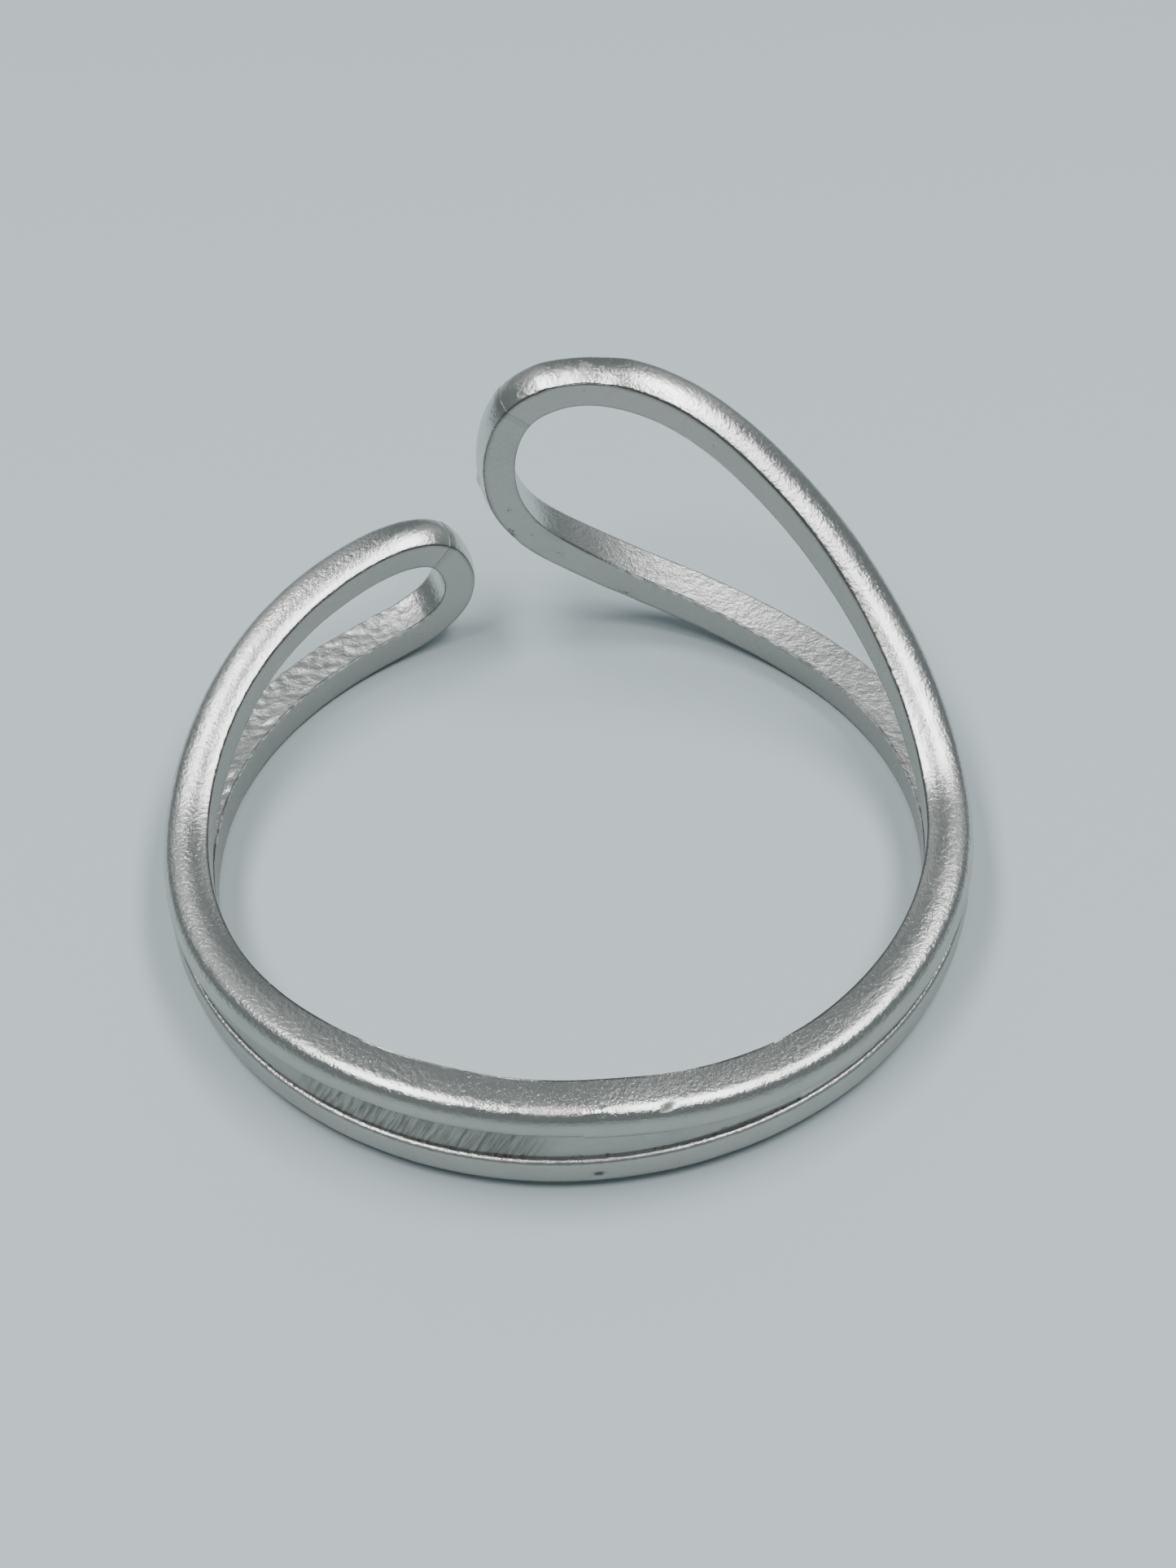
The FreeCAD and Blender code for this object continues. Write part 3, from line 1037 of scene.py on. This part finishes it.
# ------------------------------------------------------------------------ arms
@dataclass
class Arm:
    """One arm of the ring: two wires, their tip joint, and what fills them behind."""

    side: Side
    name: str
    body: str
    route: Route
    joint: tuple[float, float]
    web_end: float
    flank_end: float
    upper_marks: list[Mark]
    lower_marks: list[Mark]
    frosted_from: float
    frosted_to: float
    web_filed: tuple[float, float]
    web_recess: float
    # Angle where the web's painted groove shade and tarnishing are widest.
    web_shade_and_tarnish_peak: float
    groove_round: float
    hammer: float
    seed: int
    web_rise_to: float = 0.12
    flank_recess: float = 0.12
    tip_overlap: float = 0.04
    tip_swell: float = 0.007
    bend_centre: tuple[float, float, float] = (0.0, -9.2, 1.2)
    bend_reach: float = 4.0
    bend_slant: float = 0.35

    def build(self, paint: dict[Finish, bpy.types.Material]) -> None:
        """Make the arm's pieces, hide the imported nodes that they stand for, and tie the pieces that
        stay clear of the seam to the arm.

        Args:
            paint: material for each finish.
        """
        upper, lower, tip = self._wires()
        web, flank = self._fillers()
        for part, finish, slot, bends in (
            (upper, Finish.WIRE, "wire", True),
            (lower, Finish.WIRE, "wire", True),
            (tip, Finish.SOLDER, "solder", False),
            (web, Finish.WEB, "web", True),
            (flank, Finish.SOLDER, "solder", False),
        ):
            piece = bpy.data.objects.new(part.name + "_look", part.mesh())
            bpy.context.scene.collection.objects.link(piece)
            piece.data.materials.append(paint[finish])
            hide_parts(part.name)
            self._tie(piece, bends)
            LOG.info("%s: %d faces", piece.name, len(piece.data.polygons))

    def _wires(self) -> tuple[Wire, Wire, Wire]:
        """The two wires of the loop and the solder where they meet at its tip.

        Returns:
            Upper wire, lower wire and tip solder.
        """
        film = BAND.solder_film / 2
        joint = self.route.nearest(*self.joint)
        ends = film + self.tip_overlap
        frosted = (
            self.route.nearest(self.frosted_from, BAND.lower),
            self.route.nearest(self.frosted_to, BAND.lower))
        upper = Wire(self._label("upper_wire"), self.route, 0.0, joint - film, self.seed,
                     self.upper_marks, groove_round=self.groove_round)
        lower = Wire(self._label("lower_wire"), self.route, self.route.length, joint + film,
                     self.seed + 1, self.lower_marks, frosted=frosted, hammer=self.hammer)
        tip = Wire(self._label("tip_solder"), self.route, joint - ends, joint + ends,
                   self.seed + 2, step=0.02, swell=self.tip_swell)
        return upper, lower, tip

    def _fillers(self) -> tuple[Filler, Filler]:
        """The recessed web behind the finger and the solder along the side.

        Returns:
            Web and flank solder.
        """
        seam = 180.0 * self.side.value
        web = Filler(self._label("back_web"), self.route, seam, self.web_end, self.web_recess,
                     self.seed + 3, file_marks=self.web_filed, rise_to=self.web_rise_to,
                     shade_and_tarnish_peak=self.web_shade_and_tarnish_peak)
        flank = Filler(self._label("flank_solder"), self.route, self.web_end, self.flank_end,
                       self.flank_recess, self.seed + 4)
        return web, flank

    def _label(self, part: str) -> str:
        """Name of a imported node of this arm."""
        return f"{self.name}_{part}"

    def _tie(self, piece: bpy.types.Object, bends: bool) -> None:
        """Let a piece move with its arm, or, where it reaches the seam behind the finger, bake its
        place into its mesh.

        Args:
            piece: the finished object.
            bends: whether it reaches the seam.
        """
        if not bends:
            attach(piece, self.body)
            return
        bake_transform(piece)


def teardrop() -> Arm:
    """The right arm, whose wires open to a tall pointed loop."""
    points = [
        (180, 2.06), (168, 1.88), (157, 1.67), (146, 1.52), (134, BAND.upper), (116, BAND.upper),
        (98, BAND.upper), (89, 1.54), (80, 1.95), (70, 2.68), (60, 3.56), (48, 4.78), (36, 5.97),
        (26, 6.89), (17, 7.46), (8, 7.67), (0.5, 7.47), (-4.6, 6.96), (-7.4, 6.13), (-8.1, 5.20),
        (-6.6, 4.10), (-2.6, 3.17), (4, 2.36), (11, 1.74), (18, 1.29), (26, 0.94), (35, 0.66),
        (46, 0.50), (60, BAND.lower), (90, BAND.lower), (120, BAND.lower), (150, BAND.lower),
        (180, BAND.lower)]
    upper_marks = [
        Mark(177.6, 2.03, Face.CREST, -0.055, 0.09, 0.10),
        Mark(179.2, 2.05, Face.CREST, -0.035, 0.07, 0.07),
        Mark(169.3, 1.90, Face.CREST, 0.030, 0.10, 0.13, skew=0.5),
        Mark(169.3, 1.90, Face.CREST, 0.0, 0.15, 0.17, stain_and_shade=1.0, skew=0.5),
        # The crown's dent; its middle is darkened as a painted dark reflection between the lamps'
        # highlights.
        Mark(6.5, 7.67, Face.CROWN, 0.070, 0.70, 0.80, stain_and_shade=0.30),
        Mark(6.8, 7.67, Face.CROWN, 0.0, 0.20, 0.50, stain_and_shade=0.60),
        Mark(-4.3, 6.60, Face.INSIDE_HOLE_EDGE, 0.035, 0.06, 0.08, stain_and_shade=0.8),
        Mark(28.0, 6.50, Face.INSIDE, 0.025, 0.06, 0.05, stain_and_shade=0.7),
        Mark(31.0, 6.25, Face.INSIDE, 0.020, 0.04, 0.05, stain_and_shade=0.6),
        Mark(67.0, 2.95, Face.HOLE, 0.050, 0.12, 0.30, stain_and_shade=0.9),
    ]
    lower_marks = [
        Mark(178.4, 0.475, Face.OUTSIDE, 0.050, 0.13, 0.09, stain_and_shade=1.0),
        Mark(168.0, 0.475, Face.OUTSIDE, 0.020, 0.07, 0.05, stain_and_shade=0.6),
        Mark(13.5, 1.55, Face.INSIDE_CROWN_EDGE, 0.015, 0.35, 0.12, stain_and_shade=0.55),
        Mark(-8.0, 5.00, Face.CROWN, -0.05, 0.12, 0.10),
        Mark(-6.9, 4.25, Face.INSIDE, 0.015, 0.16, 0.12, stain_and_shade=0.55),
        Mark(-4.6, 3.60, Face.INSIDE_CROWN_EDGE, 0.020, 0.30, 0.12, stain_and_shade=0.60),
        Mark(-3.2, 3.30, Face.INSIDE, 0.015, 0.05, 0.05, stain_and_shade=0.9),
        Mark(-1.6, 3.02, Face.INSIDE_HOLE_EDGE, 0.020, 0.32, 0.10, stain_and_shade=0.50),
        Mark(1.4, 2.65, Face.INSIDE, 0.015, 0.38, 0.14, stain_and_shade=0.50),
    ]
    return Arm(
        side=Side.RIGHT, name="teardrop", body="teardrop_arm",
        route=Route(points, Side.RIGHT, lean=(4.2, 7.3, 0.22)),
        joint=(-4.6, 6.96), web_end=150.0, flank_end=97.0, upper_marks=upper_marks,
        lower_marks=lower_marks, frosted_from=5.0, frosted_to=92.0,
        web_filed=(0.0, 0.0), web_recess=0.16, web_shade_and_tarnish_peak=157.0, groove_round=0.36,
        hammer=0.006, seed=11)


def eye() -> Arm:
    """The left arm, whose wires open to a low narrow loop."""
    points = [
        (-180, 2.06), (-167, 2.12), (-153, 2.12), (-140, 2.02), (-129, 1.83), (-118, 1.62),
        (-108, 1.51), (-98, BAND.upper), (-88, 1.55), (-78, 1.84), (-68, 2.23), (-58, 2.62),
        (-46, 3.00), (-36, 3.24), (-28, 3.35), (-23, 3.29), (-19.2, 3.03), (-17.2, 2.55),
        (-16.7, 1.97), (-18.6, 1.32), (-23, 0.83), (-30, 0.58), (-40, 0.49), (-55, BAND.lower),
        (-85, BAND.lower), (-115, BAND.lower), (-148, BAND.lower), (-180, BAND.lower)]
    upper_marks = [
        Mark(-171.0, 2.10, Face.CREST, -0.025, 0.14, 0.09),
        Mark(-165.0, 2.12, Face.CREST, -0.020, 0.20, 0.07),
        Mark(-128.0, 1.81, Face.INSIDE_CROWN_EDGE, 0.015, 0.03, 0.22, stain_and_shade=0.6, skew=1.5),
    ]
    lower_marks = [
        Mark(-120.0, 0.475, Face.SHOULDER, -0.02, 0.10, 0.10),
    ]
    return Arm(
        side=Side.LEFT, name="eye", body="eye_arm",
        route=Route(points, Side.LEFT, lean=(1.9, 3.2, 0.22)),
        joint=(-19.2, 3.03), web_end=-114.0, flank_end=-96.0, upper_marks=upper_marks,
        lower_marks=lower_marks, frosted_from=-19.5, frosted_to=-90.0,
        web_filed=(-176.0, -138.0), web_recess=0.16, web_shade_and_tarnish_peak=-125.0, groove_round=0.45,
        hammer=0.030, seed=31)


# ----------------------------------------------------------------------- studio
@dataclass(frozen=True)
class Lamp:
    """A soft rectangular panel: where it hangs, its size, its power and its aim."""

    name: str
    place: tuple[float, float, float]
    size: tuple[float, float]
    watts: float
    aim: tuple[float, float, float]

    def hang(self) -> None:
        """Make the light and turn it to its aim."""
        data = bpy.data.lights.new(self.name, "AREA")
        data.shape = "RECTANGLE"
        data.size, data.size_y = self.size
        data.energy = self.watts
        lamp = bpy.data.objects.new(self.name, data)
        lamp.location = self.place
        gaze = Vector(self.place) - Vector(self.aim)
        lamp.rotation_euler = gaze.to_track_quat("Z", "Y").to_euler()
        bpy.context.scene.collection.objects.link(lamp)


LAMPS = (
    Lamp("left", (-0.065, 0.006, 0.16), (0.042, 0.14), 0.26, (-0.065, 0.006, 0.0)),
    Lamp("right", (0.068, 0.006, 0.16), (0.046, 0.14), 0.26, (0.068, 0.006, 0.0)),
    Lamp("far_left", (-0.090, 0.15, 0.12), (0.10, 0.09), 0.013, (0.0, 0.0, 0.0)),
    Lamp("far_right", (0.100, 0.15, 0.12), (0.10, 0.09), 0.013, (0.0, 0.0, 0.0)),
)


@dataclass
class Studio:
    """Pale floor, soft lights and the camera."""

    floor_colour: Colour = (0.46, 0.54, 0.56, 1.0)
    floor_reach: float = 0.6
    sky_colour: Colour = (0.79, 0.88, 0.91, 1.0)
    sky_strength: float = 0.25
    distance: float = 60.184
    tilt: float = 0.8287
    roll: float = -0.05514
    lens: float = 56.05
    shift: tuple[float, float] = (0.0120, 0.0498)

    def build(self) -> None:
        """Make the floor, the lights and the camera."""
        self._floor()
        self._world()
        for lamp in LAMPS:
            lamp.hang()
        self._camera()

    def _floor(self) -> None:
        """A wide pale slab just under the ring."""
        shape = bmesh.new()
        bmesh.ops.create_grid(shape, x_segments=1, y_segments=1, size=self.floor_reach)
        mesh = bpy.data.meshes.new("floor")
        shape.to_mesh(mesh)
        shape.free()
        floor = bpy.data.objects.new("floor", mesh)
        bpy.context.scene.collection.objects.link(floor)
        material = bpy.data.materials.new("pale_floor")
        material.use_nodes = True
        shader = material.node_tree.nodes["Principled BSDF"]
        shader.inputs["Base Color"].default_value = self.floor_colour
        shader.inputs["Roughness"].default_value = 0.55
        mesh.materials.append(material)

    def _world(self) -> None:
        """Even light from all round."""
        world = bpy.data.worlds.new("studio")
        world.use_nodes = True
        back = world.node_tree.nodes["Background"]
        back.inputs["Color"].default_value = self.sky_colour
        back.inputs["Strength"].default_value = self.sky_strength
        bpy.context.scene.world = world

    def _camera(self) -> None:
        """Place the camera in front of the seam, looking down at the ring."""
        data = bpy.data.cameras.new("camera")
        data.lens = self.lens
        data.sensor_width = 36.0
        data.shift_x, data.shift_y = self.shift
        data.clip_start, data.clip_end = 0.005, 5.0
        camera = bpy.data.objects.new("camera", data)
        back = Vector((0.0, -math.cos(self.tilt), math.sin(self.tilt)))
        turned = back.to_track_quat("Z", "Y").to_matrix().to_4x4() @ Matrix.Rotation(self.roll, 4, "Z")
        camera.matrix_world = Matrix.Translation(back * self.distance * MM) @ turned
        bpy.context.scene.collection.objects.link(camera)
        bpy.context.scene.camera = camera


def main() -> None:
    """Build the arms, the floor, the lights and the camera."""
    logging.basicConfig(level=logging.INFO, format="%(message)s")
    strokes, film = stroke_group(), patina_group()
    paint = {finish: finish.value.build(strokes, film) for finish in Finish}
    for arm in (teardrop(), eye()):
        LOG.info("%s arm", arm.name)
        arm.build(paint)
    Studio().build()


if __name__ == "__main__":
    main()
